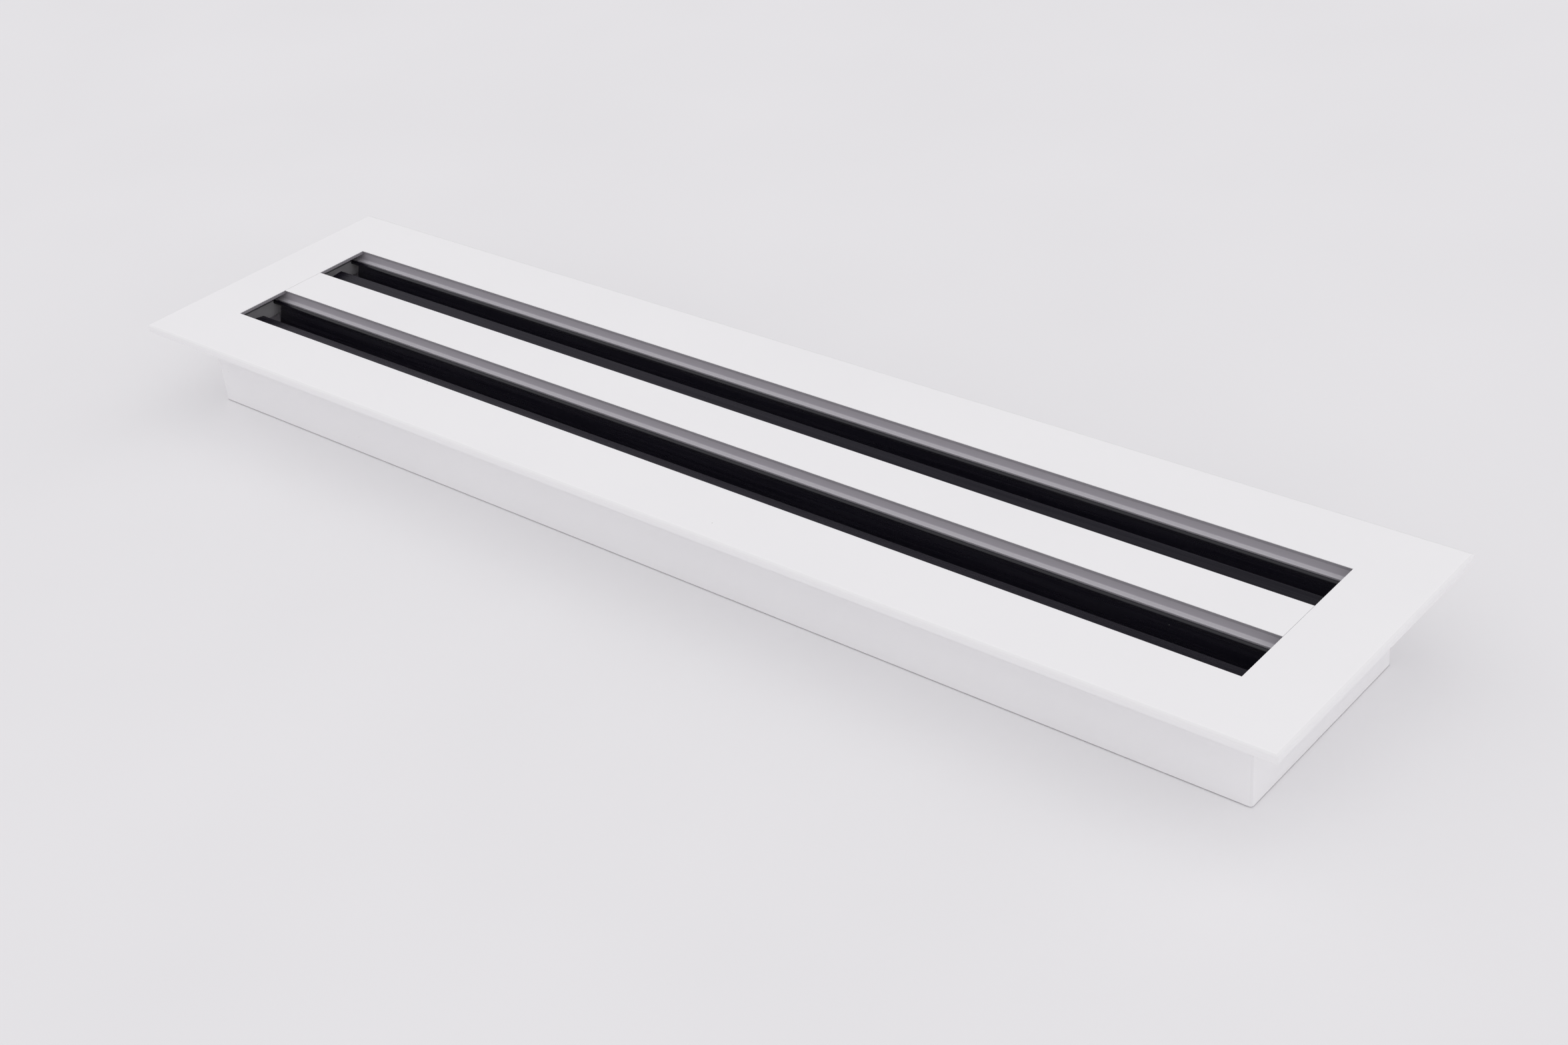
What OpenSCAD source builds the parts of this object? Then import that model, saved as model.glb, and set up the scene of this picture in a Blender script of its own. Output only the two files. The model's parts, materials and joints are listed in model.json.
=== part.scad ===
// Linear slot diffuser with two slots, lying face up on its neck.
// X runs along the slots, Y across them, Z up. The neck rim is at z = 0.
// A mitred frame of four extruded rails holds a core: two blade rails, a centre
// bar, four end caps and four deflector blades that turn in the end caps.

/* [Slots] */
// Length of each slot in the face
slot_len = 490; // [200:1:1400]
// Width of each slot in the face
slot_w = 25; // [20:0.5:32]
// Width of the bar between the two slots
bar_w = 20; // [18:0.5:40]

/* [Frame] */
// How far the flange stands out past the neck
overhang = 18.5; // [8:0.1:40]
// Height from the neck rim to the face
frame_h = 40; // [30:0.5:80]
// Thickness of the face plate
face_t = 1.8; // [1.4:0.1:2.1]
// Height of the turned-down outer lip, with the face plate
lip_h = 3; // [2.4:0.1:6]
// Thickness of the outer lip
lip_t = 1.8; // [1.4:0.1:3]
// Rounding of the flange's outer edge
edge_r = 1.2; // [0.3:0.1:1.3]
// Rounding of the flange's four corners in plan
corner_r = 1; // [0.2:0.1:1.6]
// How far the slot edges slope back below the face
edge_undercut = 0.8; // [0:0.1:1]
// Thickness of the neck wall
neck_t = 1.6; // [1.2:0.1:2]
// Rounding of the neck's four corners in plan
neck_r = 1; // [0.2:0.1:1.2]

/* [Key channel] */
// Width of the channel that holds the corner keys
channel_w = 4.2; // [3.8:0.1:6]
// Height of that channel
channel_h = 2.4; // [2:0.1:2.6]
// Thickness of the channel's ribs
rib_t = 1; // [0.8:0.1:1.2]
// How far the channel's two lips reach over the key
lip_reach = 1.4; // [0.8:0.1:1.6]

/* [Core] */
// How far the foot of a long rail reaches in from its neck
foot_reach = 6.2; // [5:0.1:10]
// How far a blade rail's tongue reaches out over that foot
tongue_reach = 3; // [1:0.1:4]
// Wall thickness of the blade rails and the bar
web_t = 1.2; // [1:0.1:1.4]
// Depth of the slot's ledge below the face
ledge_depth = 5; // [4.4:0.1:5.4]
// How far the ledge reaches into the slot
ledge_reach = 1.1; // [0.6:0.1:1.6]
// Thickness of the ledge
ledge_t = 1.2; // [0.8:0.1:1.4]
// Rounding in the corner between the slot wall and the ledge
fillet_r = 0.4; // [0.2:0.1:1]
// Outer diameter of the screw ports in the extrusions
port_d = 5; // [4.4:0.1:5.6]
// Bore of the screw ports
port_bore = 2.9; // [2.9:0.1:3.2]
// Depth of the screw ports' axis below the face
port_depth = 8.5; // [8.4:0.1:9.5]

/* [Blades] */
// Diameter of the knuckle that each blade turns on
knuckle_d = 1.8; // [1.4:0.1:2.4]
// Depth of the blades' pivots below the face
pivot_depth = 5.8; // [5.6:0.1:6.4]
// Thickness of a blade's leg
leg_t = 1; // [0.6:0.1:1.4]
// How far a blade's leg stops short of the end caps
leg_gap = 4.8; // [0.5:0.1:8]
// Angle of the front slot's near blade above level
front_near_angle = -9; // [-90:1:20]
// Angle of the front slot's far blade above level
front_far_angle = -72; // [-90:1:20]
// Angle of the rear slot's near blade above level
rear_near_angle = 4; // [-90:1:20]
// Angle of the rear slot's far blade above level
rear_far_angle = -72; // [-90:1:20]

/* [End caps] */
// Thickness of an end cap
cap_t = 2.4; // [2.2:0.1:3.2]
// How far the blades' snap seats reach up past the pivots
snap_rise = 0.6; // [0.4:0.05:0.8]

/* [Fasteners] */
// Length of a corner key's legs, from its outer corner
key_leg = 32; // [24:1:50]
// Diameter of the corner keys' grub screws
grub_d = 2.4; // [2:0.1:2.8]
// Shank diameter of the end caps' screws
screw_d = 2.8; // [2.4:0.1:2.8]
// Length of their shanks
screw_len = 11; // [6:0.5:20]
// Diameter of their heads
head_d = 5; // [4.4:0.1:5.4]
// Height of their heads, which are let into the caps
head_h = 1.2; // [0.8:0.1:1.4]

/* [Clearances] */
// Between a part that slides in and its groove
slide_clear = 0.2; // [0.1:0.05:0.3]
// Between a knuckle and its bearing, on the radius
bearing_clear = 0.08; // [0.04:0.01:0.1]
// Between a turning blade and what is beside it
blade_clear = 0.4; // [0.3:0.05:0.6]
// Between the centre bar's face and the end rails
bar_clear = 0.12; // [0.05:0.01:0.2]
// Between a corner key and its channel
key_clear = 0.1; // [0.05:0.01:0.2]
// Between a screw and its hole, on the radius
screw_clear = 0.05; // [0.03:0.01:0.1]

/* [Hidden] */
$fn = 48;
// How far a cut runs past the faces that it opens
cut_over = 1;
white = "#e9e8eb";
black = "#1c1b1f";
grey = "#8d8c90";
mill = "#b9bbbd";
steel = "#9a9da0";

// Across the border, in from the face's edge: the key channel outside the neck, the neck,
// the foot under a blade rail's tongue, the slot wall and the slot edge
channel_in = overhang - channel_w;
neck_in = overhang + neck_t;
foot_end = neck_in + foot_reach;
wall_in = foot_end + slide_clear + web_t;
border = wall_in + edge_undercut;

face_len = slot_len + 2 * border;
face_w = 2 * slot_w + bar_w + 2 * border;
slot_mid = (bar_w + slot_w) / 2;
plate_z = frame_h - face_t;
foot_top = plate_z - channel_h;
foot_z = foot_top - rib_t;

// Core: its half length, the heights of its features, and the ports' place from the slot edge
core_half = face_len / 2 - neck_in - slide_clear - cap_t;
ledge_z = frame_h - ledge_depth;
port_z = frame_h - port_depth;
port_in = edge_undercut + (web_t + port_d) / 2;
web_z = port_z - port_d / 2;
tongue_t = channel_h - slide_clear;

// Blades: the pivot's place from the slot edge, and the reach that closes half a slot
pivot_in = ledge_reach + blade_clear + knuckle_d / 2;
pivot_z = frame_h - pivot_depth;
blade_reach = (slot_w - blade_clear) / 2 - pivot_in;
leg_half = core_half - leg_gap;
knuckle_half = core_half + cap_t - slide_clear;

// End caps: a low bar about the screws, under the long rails' feet, that rises in the slot
cap_bar_h = 2 * (foot_z - slide_clear - port_z);
cap_top = pivot_z + snap_rise;
bearing_d = knuckle_d + 2 * bearing_clear;

// Corner keys
key_w = channel_w - 2 * key_clear;
key_t = channel_h - 2 * key_clear;
key_z = foot_top + key_clear;
key_in = channel_in + key_clear;
key_hole_at = key_leg - 2 * key_w;
grub_hole_d = grub_d + 2 * screw_clear;
screw_hole_d = screw_d + 2 * screw_clear;
head_hole_d = head_d + 2 * screw_clear;

// Lays a section out along X: its first axis becomes Y, its second Z.
module along_x(from, to) {
  translate([from, 0, 0])
    rotate([90, 0, 90])
      linear_extrude(to - from)
        children();
}

// The corner of a square that a rounded edge of radius r takes away
module edge_waste(r) {
  difference() {
    square(r);
    translate([r, 0])
      circle(r);
  }
}

// Section of a frame rail: distance in from the face's edge, then height.
module frame_section(footed) {
  difference() {
    union() {
      polygon([[0, plate_z], [wall_in, plate_z], [border, frame_h], [0, frame_h]]);
      translate([0, frame_h - lip_h])
        square([lip_t, lip_h]);
      translate([overhang, 0])
        square([neck_t, frame_h]);
      key_channel_section();
      if (footed) {
        translate([overhang, foot_z])
          square([neck_t + foot_reach, rib_t]);
      }
    }
    translate([0, frame_h - edge_r])
      edge_waste(edge_r);
  }
}

// Hanging rib and the two lips that hold a corner key under the flange
module key_channel_section() {
  translate([channel_in - rib_t, foot_z])
    square([rib_t, frame_h - foot_z]);
  translate([channel_in - rib_t, foot_z])
    square([rib_t + lip_reach, rib_t]);
  translate([overhang - lip_reach, foot_z])
    square([lip_reach + neck_t, rib_t]);
}

// What a rounding takes off a plan corner that lies inset from both outer edges
module corner_waste(inset, r) {
  difference() {
    translate([inset - cut_over, inset - cut_over])
      square(r + cut_over);
    translate([inset + r, inset + r])
      circle(r);
  }
}

// A rail with its outer edge on the X axis, mitred at both ends, its corners rounded
module frame_rail(length, footed) {
  difference() {
    intersection() {
      along_x(-length / 2, length / 2)
        frame_section(footed);
      linear_extrude(frame_h)
        polygon([
          [-length / 2, 0],
          [length / 2, 0],
          [length / 2 - border, border],
          [border - length / 2, border]
        ]);
    }
    for (end = [-1, 1])
      scale([end, 1, 1])
        translate([-length / 2, 0, -cut_over]) {
          linear_extrude(frame_h + 2 * cut_over)
            corner_waste(0, corner_r);
          linear_extrude(foot_z + cut_over)
            corner_waste(overhang, neck_r);
        }
  }
}

module long_rail(side) {
  color(white)
    scale([1, side, 1])
      translate([0, -face_w / 2, 0])
        frame_rail(face_len, true);
}

module end_rail(side) {
  color(white)
    translate([side * face_len / 2, 0, 0])
      rotate([0, 0, side * 90])
        frame_rail(face_w, false);
}

// Slot wall, ledge and screw port: distance out from the slot edge, then height.
module slot_wall_section(top) {
  translate([edge_undercut, web_z])
    square([web_t, top - web_z]);
  translate([-ledge_reach, ledge_z - ledge_t])
    square([ledge_reach + edge_undercut + web_t, ledge_t]);
  translate([edge_undercut - fillet_r, ledge_z])
    difference() {
      square(fillet_r);
      translate([0, fillet_r])
        circle(fillet_r);
    }
  translate([port_in, port_z])
    circle(d = port_d);
}

// Blade rail: a slot wall with the tongue that slides into its frame rail
module blade_rail(side) {
  color(white)
    scale([1, -side, 1])
      translate([0, bar_w / 2 + slot_w, 0])
        along_x(-core_half, core_half)
          difference() {
            union() {
              slot_wall_section(plate_z);
              translate([edge_undercut + web_t, plate_z - tongue_t])
                square([tongue_reach, tongue_t]);
            }
            translate([port_in, port_z])
              circle(d = port_bore);
          }
}

// The centre bar's two slot walls
module bar_walls_section(top) {
  difference() {
    for (side = [-1, 1])
      scale([side, 1])
        translate([bar_w / 2, 0])
          mirror([1, 0])
            slot_wall_section(top);
    for (side = [-1, 1])
      translate([side * (bar_w / 2 - port_in), port_z])
        circle(d = port_bore);
  }
}

// Centre bar: a face plate whose walls run up into it, and on under the end rails
module centre_bar() {
  plate_half = slot_len / 2 - bar_clear;
  under_half = bar_w / 2 - edge_undercut;
  color(white)
    union() {
      along_x(-plate_half, plate_half)
        polygon([
          [-under_half, plate_z],
          [under_half, plate_z],
          [bar_w / 2, frame_h],
          [-bar_w / 2, frame_h]
        ]);
      along_x(-plate_half, plate_half)
        bar_walls_section(frame_h - face_t / 2);
      along_x(-core_half, core_half)
        bar_walls_section(plate_z);
    }
}

// Leg of a blade with its round free edge, from the pivot out
module leg_section() {
  translate([0, -leg_t / 2])
    square([blade_reach - leg_t / 2, leg_t]);
  translate([blade_reach - leg_t / 2, 0])
    circle(d = leg_t);
}

// A blade on the near (-1) or far (1) wall of a slot, at an angle above level
module blade(slot_y, side, angle) {
  color(black)
    translate([0, slot_y + side * (slot_w / 2 - pivot_in), pivot_z])
      scale([1, -side, 1])
        union() {
          along_x(-knuckle_half, knuckle_half)
            circle(d = knuckle_d);
          along_x(-leg_half, leg_half)
            rotate(angle)
              leg_section();
        }
}

// Outline of an end cap: a bar with round ends about its two screws, raised in the slot
module cap_outline() {
  reach = slot_w / 2 + port_in;
  raised_half = slot_w / 2 + edge_undercut;
  translate([-reach, port_z - cap_bar_h / 2])
    square([2 * reach, cap_bar_h]);
  for (side = [-1, 1])
    translate([side * reach, port_z])
      circle(d = cap_bar_h);
  translate([-raised_half, port_z])
    square([2 * raised_half, cap_top - port_z]);
}

// End cap of one slot: the blades' snap seats, and counterbored holes for its screws
module end_cap(end, slot_y) {
  color(grey)
    translate([end * core_half, slot_y, 0])
      scale([end, 1, 1])
        difference() {
          along_x(0, cap_t)
            cap_outline();
          for (side = [-1, 1]) {
            translate([0, side * (slot_w / 2 - pivot_in), pivot_z])
              along_x(-cut_over, cap_t + cut_over)
                circle(d = bearing_d);
            translate([0, side * (slot_w / 2 + port_in), port_z]) {
              along_x(-cut_over, cap_t + cut_over)
                circle(d = screw_hole_d);
              along_x(cap_t - head_h, cap_t + cut_over)
                circle(d = head_hole_d);
            }
          }
        }
}

// The two screws of an end cap, with crossed recesses in their heads
module cap_screws(end, slot_y) {
  recess_w = head_d / 6;
  color(steel)
    translate([end * core_half, slot_y, port_z])
      scale([end, 1, 1])
        for (side = [-1, 1])
          translate([0, side * (slot_w / 2 + port_in), 0])
            difference() {
              union() {
                along_x(cap_t - head_h - screw_len, cap_t - head_h)
                  circle(d = screw_d);
                along_x(cap_t - head_h, cap_t)
                  circle(d = head_d);
              }
              for (turn = [0, 90])
                translate([cap_t - head_h / 2, 0, 0])
                  rotate([turn, 0, 0])
                    translate([0, -head_d / 3, -recess_w / 2])
                      cube([head_h, 2 * head_d / 3, recess_w]);
            }
}

// Turns a shape drawn from the frame's left front corner into another corner
module at_corner(x_side, y_side) {
  translate([x_side * face_len / 2, y_side * face_w / 2, 0])
    scale([-x_side, -y_side, 1])
      children();
}

// Where the two grub screws of a key stand
module at_key_holes() {
  far = key_in + key_hole_at;
  mid = key_in + key_w / 2;
  for (place = [[far, mid], [mid, far]])
    translate([place.x, place.y, key_z])
      children();
}

// Corner key: a flat L in the channels of two rails
module corner_key(x_side, y_side) {
  color(mill)
    at_corner(x_side, y_side)
      difference() {
        translate([key_in, key_in, key_z]) {
          cube([key_leg, key_w, key_t]);
          cube([key_w, key_leg, key_t]);
        }
        at_key_holes()
          translate([0, 0, -cut_over])
            cylinder(d = grub_hole_d, h = key_t + 2 * cut_over);
      }
}

// Grub screws of a key, with hexagon sockets towards the neck
module key_screws(x_side, y_side) {
  color(steel)
    at_corner(x_side, y_side)
      at_key_holes()
        difference() {
          cylinder(d = grub_d, h = key_t);
          translate([0, 0, -cut_over])
            cylinder(d = grub_d / 2, h = key_t / 2 + cut_over, $fn = 6);
        }
}

long_rail(1);  // front_rail
long_rail(-1);  // rear_rail
end_rail(-1);  // left_rail
end_rail(1);  // right_rail
blade_rail(1);  // front_blade_rail
blade_rail(-1);  // rear_blade_rail
centre_bar();
blade(-slot_mid, -1, front_near_angle);  // front_slot_near_blade
blade(-slot_mid, 1, front_far_angle);  // front_slot_far_blade
blade(slot_mid, -1, rear_near_angle);  // rear_slot_near_blade
blade(slot_mid, 1, rear_far_angle);  // rear_slot_far_blade
end_cap(-1, -slot_mid);  // front_left_cap
end_cap(1, -slot_mid);  // front_right_cap
end_cap(-1, slot_mid);  // rear_left_cap
end_cap(1, slot_mid);  // rear_right_cap
corner_key(-1, -1);  // front_left_key
corner_key(1, -1);  // front_right_key
corner_key(-1, 1);  // rear_left_key
corner_key(1, 1);  // rear_right_key
key_screws(-1, -1);  // front_left_key_screws
key_screws(1, -1);  // front_right_key_screws
key_screws(-1, 1);  // rear_left_key_screws
key_screws(1, 1);  // rear_right_key_screws
cap_screws(-1, -slot_mid);  // front_left_cap_screws
cap_screws(1, -slot_mid);  // front_right_cap_screws
cap_screws(-1, slot_mid);  // rear_left_cap_screws
cap_screws(1, slot_mid);  // rear_right_cap_screws
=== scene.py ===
"""Looks of the two-slot linear diffuser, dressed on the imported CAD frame."""
import json
import math

import bpy
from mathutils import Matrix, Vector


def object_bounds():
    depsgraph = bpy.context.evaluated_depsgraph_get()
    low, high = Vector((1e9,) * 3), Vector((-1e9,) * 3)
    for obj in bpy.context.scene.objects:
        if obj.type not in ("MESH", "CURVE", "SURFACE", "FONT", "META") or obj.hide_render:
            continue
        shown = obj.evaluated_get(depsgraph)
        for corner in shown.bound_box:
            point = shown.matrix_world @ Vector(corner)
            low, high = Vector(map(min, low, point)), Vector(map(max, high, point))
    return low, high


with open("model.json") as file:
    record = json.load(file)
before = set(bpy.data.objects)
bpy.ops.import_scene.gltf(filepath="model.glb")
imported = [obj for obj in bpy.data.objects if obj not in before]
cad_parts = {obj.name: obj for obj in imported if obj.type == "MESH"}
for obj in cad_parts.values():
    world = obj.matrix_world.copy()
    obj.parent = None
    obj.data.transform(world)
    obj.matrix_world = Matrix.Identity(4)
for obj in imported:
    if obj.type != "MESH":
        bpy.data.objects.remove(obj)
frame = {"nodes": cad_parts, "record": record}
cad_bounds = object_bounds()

# The photograph's camera, in metres, degrees and millimetres
CAMERA_PLACE = (0.53071, -0.53261, 0.45927)
CAMERA_TURN = (58.025, 5.3554, 39.9946)
CAMERA_LENS = 52.328
SENSOR_WIDTH = 36.0
CLIP_START = 0.01

# The floor: its size, the fine gap under the neck rim, and the clouds in its colour, in metres
FLOOR_SIZE = 60.0
FLOOR_GAP = 0.0004
FLOOR_CLOUD = 0.15
FLOOR_COLOUR = (0.80, 0.79, 0.81)
FLOOR_COLOUR_DIM = (0.784, 0.7742, 0.7938)
FLOOR_ROUGHNESS = 0.9

# The open floor's tone, and the share of the floor's shade that gives way to it
FLOOR_GLOW = 0.97
FLOOR_LIFT = 0.4

# The light from all round, and its strength from each side
DOME_COLOUR = (1.0, 0.995, 1.0)
DOME_ACROSS = (1.00, 1.16)
DOME_ACROSS_RANGE = (-1.0, 1.0)
DOME_ALONG = (0.97, 1.0)
DOME_ALONG_RANGE = (-0.9, 0.0)

# The dim wall at the back on the left: its colours, and where it fades along each axis of the direction
WALL_LEFT = (0.345, 0.330, 0.370)
WALL_RIGHT = (0.090, 0.084, 0.103)
WALL_COLOUR_RANGE = (-0.75, -0.39)
WALL_FADE_X = (-0.1, 0.15)
WALL_FADE_Y = (0.2, 0.45)
WALL_FADE_Z = (0.65, 0.85)

# The neck's outer and inner side from the flange's edge, and the skin of its face, in metres
NECK_OUTSET = 0.0183
NECK_INSET = 0.0195
FACE_SKIN = 0.0002

# Ramps, the range that most values of a noise lie in, and the detail of a noise
RISE = (0.0, 1.0)
FALL = (1.0, 0.0)
NOISE_RANGE = (0.3, 0.7)
PLAIN_DETAIL = 2.0
FINE_DETAIL = 3.0

# White powder coat: linear colours, sizes and heights in metres
WHITE_COAT = (0.855, 0.848, 0.862)
WHITE_COAT_DIM = (0.842, 0.835, 0.850)
WHITE_SPECK = (0.42, 0.40, 0.38)
WHITE_SPECKS = {"spacing": 0.014, "radius": 0.00022, "share": 0.3}
WHITE_CLOUD = 0.07
WHITE_PATCH = 0.004
WHITE_ROUGHNESS = (0.46, 0.56)
WHITE_SPECULAR = 0.25
ORANGE_PEEL = 0.0016
ORANGE_PEEL_HEIGHT = 0.00002
WHITE_GRAIN = 0.0003
WHITE_GRAIN_HEIGHT = 0.000004

# Painted shade on the coat's rounded edges: its colour, what marks an edge, and its share on upright
# edges and on those facing up
PAINTED_EDGE_SHADE = (0.760, 0.753, 0.767)
EDGE_RANGE = (0.92, 0.998)
EDGE_SHADE_SHARE = (0.5, 1.0)
EDGE_SHADE_UP_RANGE = (0.0, 0.3)

# The painted shade's share on the flange's lip and on the face, and how softly one turns into the other,
# in metres
LIP_SHADE_SHARE = (0.4, 0.0)
LIP_SOFT = 0.0006

# Painted shade inside the neck, and how it fades from upright surfaces to level ones
PAINTED_NECK_SHADE = (0.436, 0.417, 0.455)
NECK_SHADE_SHARE = (1.0, 0.69)
NECK_SHADE_RANGE = (0.1, 0.9)

# Black coat of the blades, with lines drawn out along the extrusion
BLACK_COAT = (0.0044, 0.0039, 0.0075)
BLACK_COAT_PALE = (0.0083, 0.0075, 0.0122)
BLACK_DUST = (0.22, 0.215, 0.21)
BLACK_SPECKS = {"spacing": 0.006, "radius": 0.00014, "share": 0.35}
BLACK_STREAK = 0.0016
BLACK_STREAK_ALONG = 60.0
BLACK_ROUGHNESS = (0.22, 0.32)
BLACK_IOR = 1.42
DIE_LINE = 0.0005
DIE_LINE_ALONG = 80.0
DIE_LINE_HEIGHT = 0.000001
BLACK_GRAIN = 0.0004
BLACK_GRAIN_HEIGHT = 0.000001

# Grey plastic of the end caps
GREY_PLASTIC = (0.330, 0.322, 0.338)
GREY_PLASTIC_DARK = (0.290, 0.283, 0.298)
GREY_CLOUD = 0.006
GREY_PATCH = 0.002
GREY_ROUGHNESS = (0.5, 0.62)
SPARK_GRAIN = 0.0003
SPARK_GRAIN_HEIGHT = 0.00002

# Bare metals of the keys and screws, with drawn lines
MILL_ALUMINIUM = (0.74, 0.745, 0.75)
MILL_ALUMINIUM_DULL = (0.60, 0.605, 0.61)
MILL_LINE = 0.0004
MILL_LINE_ALONG = 30.0
STEEL = (0.60, 0.61, 0.62)
STEEL_DULL = (0.40, 0.41, 0.42)
STEEL_LINE = 0.0006
STEEL_LINE_ALONG = 4.0
METAL_ROUGHNESS = (0.28, 0.44)
METAL_LINE_HEIGHT = 0.000006

# Edge of a speck: the share of its radius that is full, and the step between chosen and left cells
SPECK_CORE = 0.6
SPECK_STEP = 0.01

# Colour sockets of a Mix node
MIX_FIRST, MIX_SECOND, MIX_RESULT = 6, 7, 2


class Nodes:
    """A node tree and the coordinates that its textures and masks are laid in."""

    def __init__(self, tree, coordinates):
        self.tree = tree
        self.place = self.add("TexCoord").outputs[coordinates]

    def add(self, kind):
        return self.tree.nodes.new("ShaderNode" + kind)

    def join(self, source, target):
        self.tree.links.new(source, target)

    def stretched(self, scale):
        """The coordinates times a scale per axis."""
        node = self.add("Mapping")
        node.inputs["Scale"].default_value = scale
        self.join(self.place, node.inputs["Vector"])
        return node.outputs["Vector"]

    def noise(self, size, detail=PLAIN_DETAIL, along=None):
        """Noise with features of about size metres, or drawn out along X by the factor along."""
        node = self.add("TexNoise")
        node.inputs["Scale"].default_value = 1.0 / size
        node.inputs["Detail"].default_value = detail
        vector = self.stretched((1.0 / along, 1.0, 1.0)) if along else self.place
        self.join(vector, node.inputs["Vector"])
        return node.outputs["Fac"]

    def spread(self, value, onto, source=NOISE_RANGE):
        """Maps a value's source range onto another range, and holds it there beyond its ends."""
        node = self.add("MapRange")
        node.inputs["From Min"].default_value, node.inputs["From Max"].default_value = source
        node.inputs["To Min"].default_value, node.inputs["To Max"].default_value = onto
        self.join(value, node.inputs["Value"])
        return node.outputs["Result"]

    def mixed(self, factor, first, second):
        """A colour between two, each a colour or another node's output."""
        node = self.add("Mix")
        node.data_type = "RGBA"
        self.join(factor, node.inputs["Factor"])
        for socket, colour in ((MIX_FIRST, first), (MIX_SECOND, second)):
            if isinstance(colour, tuple):
                node.inputs[socket].default_value = (*colour, 1.0)
            else:
                self.join(colour, node.inputs[socket])
        return node.outputs[MIX_RESULT]

    def combined(self, operation, first, second):
        """Two outputs joined by an operation of arithmetic."""
        node = self.add("Math")
        node.operation = operation
        self.join(first, node.inputs[0])
        self.join(second, node.inputs[1])
        return node.outputs[0]

    def product(self, first, second):
        return self.combined("MULTIPLY", first, second)

    def axes(self, vector):
        """The X, Y and Z outputs of a vector."""
        node = self.add("SeparateXYZ")
        self.join(vector, node.inputs["Vector"])
        return node.outputs

    def distance(self, value, middle):
        """How far a value is from a number."""
        offset = self.add("Math")
        offset.operation = "SUBTRACT"
        offset.inputs[1].default_value = middle
        self.join(value, offset.inputs[0])
        size = self.add("Math")
        size.operation = "ABSOLUTE"
        self.join(offset.outputs[0], size.inputs[0])
        return size.outputs[0]

    def inside(self, centre, half, soft):
        """Mask that is 1 inside an upright box about centre, with edges soft metres wide."""
        mask = None
        for value, middle, reach in zip(self.axes(self.place), centre, half):
            side = self.spread(self.distance(value, middle), FALL, (reach - soft, reach))
            mask = self.product(mask, side) if mask else side
        return mask

    def specks(self, spacing, radius, share):
        """Mask of small round specks, one in a share of the cells that are spacing metres wide."""
        node = self.add("TexVoronoi")
        node.inputs["Scale"].default_value = 1.0 / spacing
        self.join(self.place, node.inputs["Vector"])
        edge = radius / spacing
        dot = self.spread(node.outputs["Distance"], FALL, (edge * SPECK_CORE, edge))
        split = self.add("SeparateColor")
        self.join(node.outputs["Color"], split.inputs["Color"])
        chosen = self.spread(split.outputs["Red"], FALL, (share, share + SPECK_STEP))
        return self.product(dot, chosen)


class Shader(Nodes):
    """A node material built round one Principled shader, textured in its object's metres."""

    def __init__(self, name):
        self.material = bpy.data.materials.new(name)
        self.material.use_nodes = True
        super().__init__(self.material.node_tree, "Object")
        self.surface = self.tree.nodes["Principled BSDF"]

    def feed(self, name, value):
        """Joins an output to an input of the surface, or sets the input to a number."""
        socket = self.surface.inputs[name]
        if isinstance(value, float):
            socket.default_value = value
        else:
            self.join(value, socket)

    def direction(self):
        return self.add("NewGeometry").outputs["Normal"]

    def facing_up(self):
        """The upward share of the surface's direction."""
        return self.axes(self.direction())["Z"]

    def rounded(self):
        """Mask of the rounded edges, where the surface's direction lies between the axes."""
        size = self.add("VectorMath")
        size.operation = "ABSOLUTE"
        self.join(self.direction(), size.inputs[0])
        x, y, z = self.axes(size.outputs["Vector"])
        largest = self.combined("MAXIMUM", self.combined("MAXIMUM", x, y), z)
        return self.spread(largest, FALL, EDGE_RANGE)

    def bump(self, *layers):
        """Adds bumps one over the other, each a value and its height in metres."""
        normal = None
        for value, height in layers:
            node = self.add("Bump")
            node.inputs["Distance"].default_value = height
            self.join(value, node.inputs["Height"])
            if normal:
                self.join(normal, node.inputs["Normal"])
            normal = node.outputs["Normal"]
        self.feed("Normal", normal)

    def show_glow(self, colour, strength, share):
        """Gives a share, a mask, of what is seen, also in mirrors and through glass, to an even glow."""
        glow = self.add("Emission")
        glow.inputs["Strength"].default_value = strength
        self.join(colour, glow.inputs["Color"])
        path = self.add("LightPath").outputs
        seen = path["Is Camera Ray"]
        for kind in ("Is Glossy Ray", "Is Transmission Ray"):
            seen = self.combined("MAXIMUM", seen, path[kind])
        blend = self.add("MixShader")
        self.join(self.product(seen, share), blend.inputs[0])
        self.join(self.surface.outputs["BSDF"], blend.inputs[1])
        self.join(glow.outputs["Emission"], blend.inputs[2])
        self.join(blend.outputs["Shader"], self.tree.nodes["Material Output"].inputs["Surface"])


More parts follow.
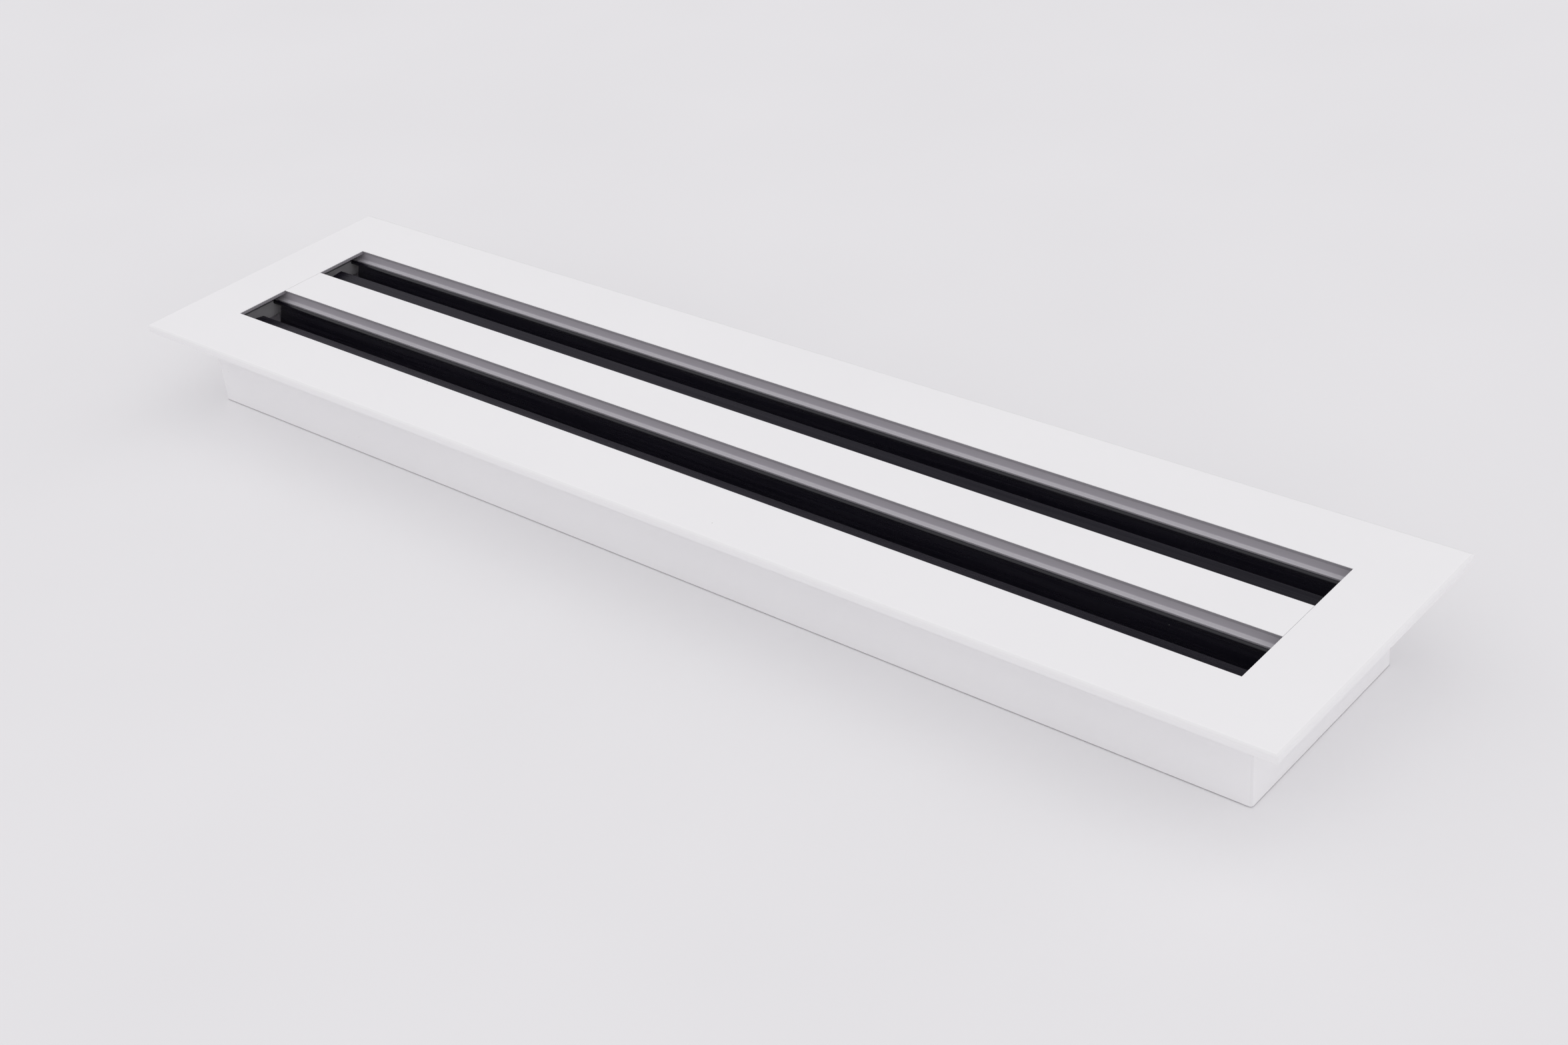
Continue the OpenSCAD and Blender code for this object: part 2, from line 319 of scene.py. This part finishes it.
def white_coat():
    """Powder coat: orange peel over a fine grain, with painted shade on rounded edges, on the lip
    and inside the neck, and a few specks."""
    coat = Shader("white_coat")
    cloud = coat.spread(coat.noise(WHITE_CLOUD), RISE)
    colour = coat.mixed(cloud, WHITE_COAT, WHITE_COAT_DIM)
    up = coat.facing_up()
    # Painted shade: rounded edges are darkened, fully where they face up and by half where upright
    edge = coat.product(coat.rounded(), coat.spread(up, EDGE_SHADE_SHARE, EDGE_SHADE_UP_RANGE))
    colour = coat.mixed(edge, colour, PAINTED_EDGE_SHADE)
    high = cad_bounds[1]
    # Painted shade on the flange's lip: part of the darker edge colour outside the face's bounds
    half = (high.x - FACE_SKIN, high.y - FACE_SKIN, 2 * high.z)
    face = coat.inside((0.0, 0.0, 0.0), half, LIP_SOFT)
    colour = coat.mixed(coat.spread(face, LIP_SHADE_SHARE, RISE), colour, PAINTED_EDGE_SHADE)
    # Painted shade inside the neck and slots, strongest on upright surfaces
    half = (high.x - NECK_INSET, high.y - NECK_INSET, high.z / 2)
    recess = coat.inside((0.0, 0.0, high.z / 2 - FACE_SKIN), half, FACE_SKIN)
    upright = coat.spread(up, NECK_SHADE_SHARE, NECK_SHADE_RANGE)
    colour = coat.mixed(coat.product(recess, upright), colour, PAINTED_NECK_SHADE)
    colour = coat.mixed(coat.specks(**WHITE_SPECKS), colour, WHITE_SPECK)
    coat.feed("Base Color", colour)
    coat.feed("Roughness", coat.spread(coat.noise(WHITE_PATCH), WHITE_ROUGHNESS))
    coat.feed("Specular IOR Level", WHITE_SPECULAR)
    peel, grain = coat.noise(ORANGE_PEEL), coat.noise(WHITE_GRAIN)
    coat.bump((peel, ORANGE_PEEL_HEIGHT), (grain, WHITE_GRAIN_HEIGHT))
    return coat.material


def black_coat():
    """Satin black over an extrusion: long die lines, rubbed streaks and dust."""
    coat = Shader("black_coat")
    streak = coat.spread(coat.noise(BLACK_STREAK, FINE_DETAIL, BLACK_STREAK_ALONG), RISE)
    colour = coat.mixed(streak, BLACK_COAT, BLACK_COAT_PALE)
    colour = coat.mixed(coat.specks(**BLACK_SPECKS), colour, BLACK_DUST)
    coat.feed("Base Color", colour)
    coat.feed("Roughness", coat.spread(streak, BLACK_ROUGHNESS, RISE))
    coat.feed("IOR", BLACK_IOR)
    line, grain = coat.noise(DIE_LINE, along=DIE_LINE_ALONG), coat.noise(BLACK_GRAIN)
    coat.bump((line, DIE_LINE_HEIGHT), (grain, BLACK_GRAIN_HEIGHT))
    return coat.material


def grey_plastic():
    """Moulded plastic with a fine spark-eroded grain."""
    plastic = Shader("grey_plastic")
    cloud = plastic.spread(plastic.noise(GREY_CLOUD), RISE)
    plastic.feed("Base Color", plastic.mixed(cloud, GREY_PLASTIC, GREY_PLASTIC_DARK))
    plastic.feed("Roughness", plastic.spread(plastic.noise(GREY_PATCH), GREY_ROUGHNESS))
    plastic.bump((plastic.noise(SPARK_GRAIN), SPARK_GRAIN_HEIGHT))
    return plastic.material


def bare_metal(name, bright, dull, width, along):
    """Bare metal with fine drawn lines and a dulled, uneven surface."""
    metal = Shader(name)
    metal.feed("Metallic", 1.0)
    line = metal.spread(metal.noise(width, FINE_DETAIL, along), RISE)
    metal.feed("Base Color", metal.mixed(line, bright, dull))
    metal.feed("Roughness", metal.spread(line, METAL_ROUGHNESS, RISE))
    metal.bump((line, METAL_LINE_HEIGHT))
    return metal.material


def coat_nodes():
    """Gives each CAD node the finish of its material slot in the record."""
    mill = (MILL_ALUMINIUM, MILL_ALUMINIUM_DULL, MILL_LINE, MILL_LINE_ALONG)
    finishes = {
        "white_coat": white_coat(),
        "black_coat": black_coat(),
        "grey_plastic": grey_plastic(),
        "mill_aluminium": bare_metal("mill_aluminium", *mill),
        "steel": bare_metal("steel", STEEL, STEEL_DULL, STEEL_LINE, STEEL_LINE_ALONG),
    }
    for subpart in frame["record"]["subparts"]:
        node = frame["nodes"][subpart["node"]]
        node.data.materials.clear()
        node.data.materials.append(finishes[subpart["material_slot"]])


def lay_floor():
    """A plain pale floor that the neck rim stands on, with a fine gap in which the contact shows.
    Where it is seen, part of its shade outside the neck gives way to the open floor's tone."""
    floor = Shader("floor")
    cloud = floor.spread(floor.noise(FLOOR_CLOUD), RISE)
    colour = floor.mixed(cloud, FLOOR_COLOUR, FLOOR_COLOUR_DIM)
    floor.feed("Base Color", colour)
    floor.feed("Roughness", FLOOR_ROUGHNESS)
    low, high = cad_bounds
    half = (high.x - NECK_OUTSET, high.y - NECK_OUTSET, high.z)
    neck = floor.inside((0.0, 0.0, 0.0), half, FACE_SKIN)
    floor.show_glow(colour, FLOOR_GLOW, floor.spread(neck, (FLOOR_LIFT, 0.0), RISE))
    height = low.z - FLOOR_GAP
    bpy.ops.mesh.primitive_plane_add(size=FLOOR_SIZE, location=(0.0, 0.0, height))
    plane = bpy.context.object
    plane.name = "floor"
    plane.data.materials.append(floor.material)


def light_dome():
    """Soft studio light from above and all round, a little stronger from the right,
    with a dimmer wall behind the part on the left."""
    world = bpy.data.worlds.new("dome")
    world.use_nodes = True
    dome = Nodes(world.node_tree, "Generated")
    background = dome.tree.nodes["Background"]
    x, y, z = dome.axes(dome.place)
    wall = dome.product(dome.spread(y, RISE, WALL_FADE_Y), dome.spread(z, FALL, WALL_FADE_Z))
    wall = dome.product(wall, dome.spread(x, FALL, WALL_FADE_X))
    back = dome.mixed(dome.spread(x, RISE, WALL_COLOUR_RANGE), WALL_LEFT, WALL_RIGHT)
    dome.join(dome.mixed(wall, DOME_COLOUR, back), background.inputs["Color"])
    across = dome.spread(x, DOME_ACROSS, DOME_ACROSS_RANGE)
    along = dome.spread(y, DOME_ALONG, DOME_ALONG_RANGE)
    dome.join(dome.product(across, along), background.inputs["Strength"])
    bpy.context.scene.world = world


def place_camera():
    """The camera at the photograph's place and angle."""
    data = bpy.data.cameras.new("camera")
    data.sensor_width = SENSOR_WIDTH
    data.lens = CAMERA_LENS
    data.clip_start = CLIP_START
    camera = bpy.data.objects.new("camera", data)
    camera.location = CAMERA_PLACE
    camera.rotation_euler = [math.radians(angle) for angle in CAMERA_TURN]
    bpy.context.scene.collection.objects.link(camera)
    bpy.context.scene.camera = camera


bpy.context.scene.view_settings.view_transform = "Standard"
coat_nodes()
lay_floor()
light_dome()
place_camera()
